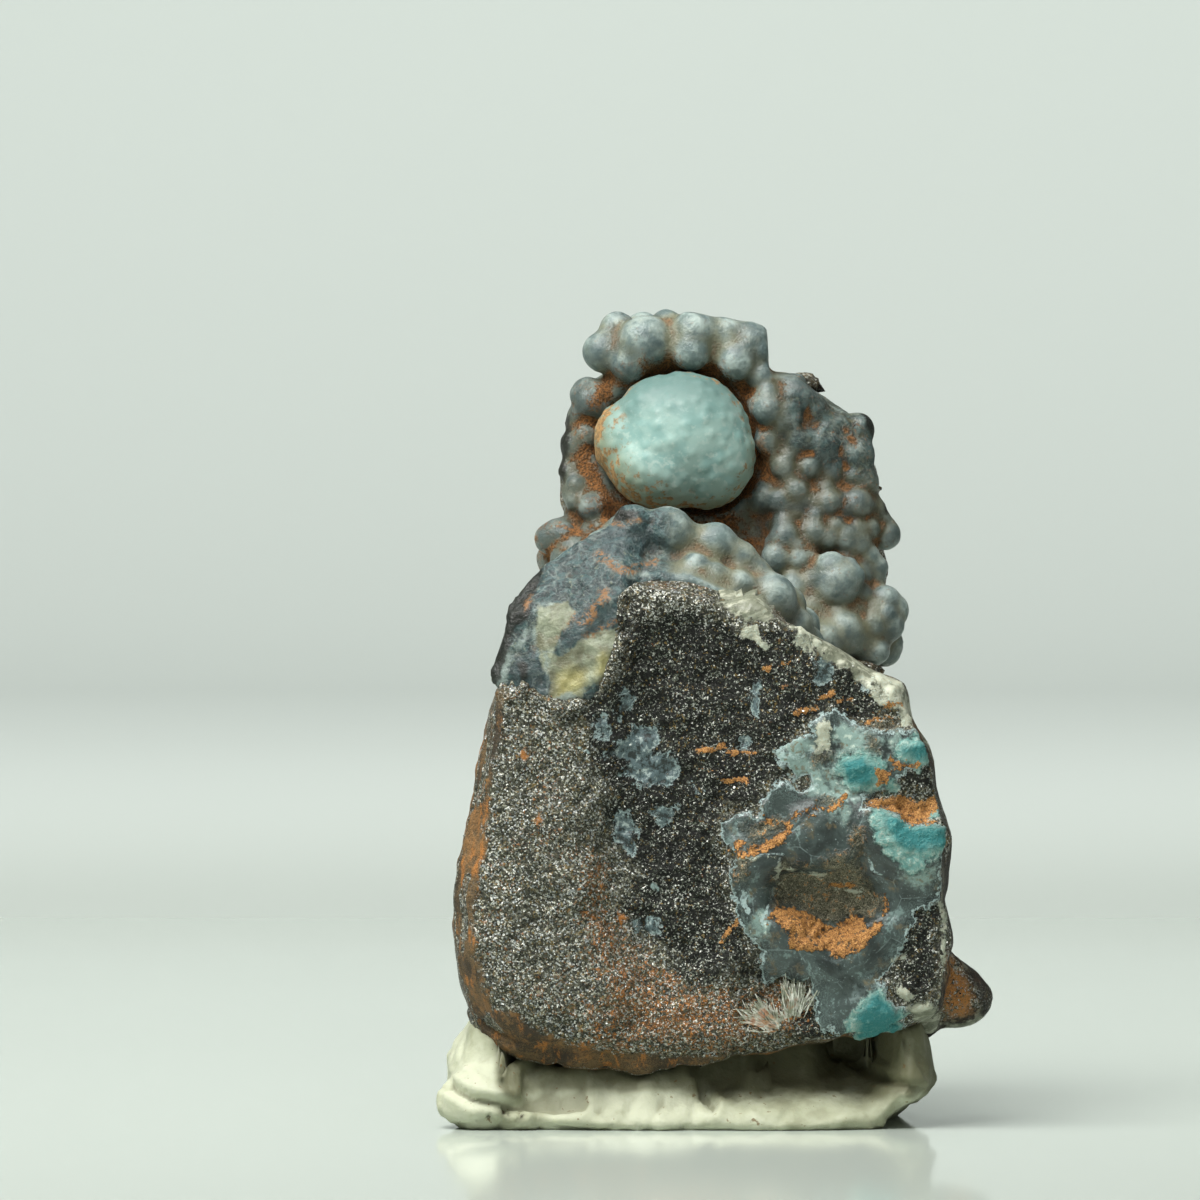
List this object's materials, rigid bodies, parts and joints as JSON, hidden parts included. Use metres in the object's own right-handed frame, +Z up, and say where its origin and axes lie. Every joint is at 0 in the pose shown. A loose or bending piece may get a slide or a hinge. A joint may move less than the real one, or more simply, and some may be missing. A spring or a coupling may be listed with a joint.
{
  "type": "shattuckite on matrix",
  "caption": "Upright mineral specimen: blue-green shattuckite ball and grey chalcedony crust on dark hematite rock, set in a putty pad to stand on a shelf.",
  "frame": {"origin": "middle of the putty pad's flat underside, on the surface that the piece stands on", "axes": "+Z up, +Y away from whoever faces the broken front face, +X to their right"},
  "size_m": [0.0222, 0.0178, 0.0325],
  "materials": {
    "hematite_rock": "rough, metallic glitter of fine grains, rust in the hollows",
    "chalcedony": "waxy and translucent",
    "shattuckite": "finely warty, satin",
    "putty": "matte, kneaded"
  },
  "bodies": {
    "root": {"matrix": "hematite_rock", "chalcedony": "chalcedony", "shattuckite_ball": "shattuckite", "display_putty": "putty"}
  },
  "joints": []
}
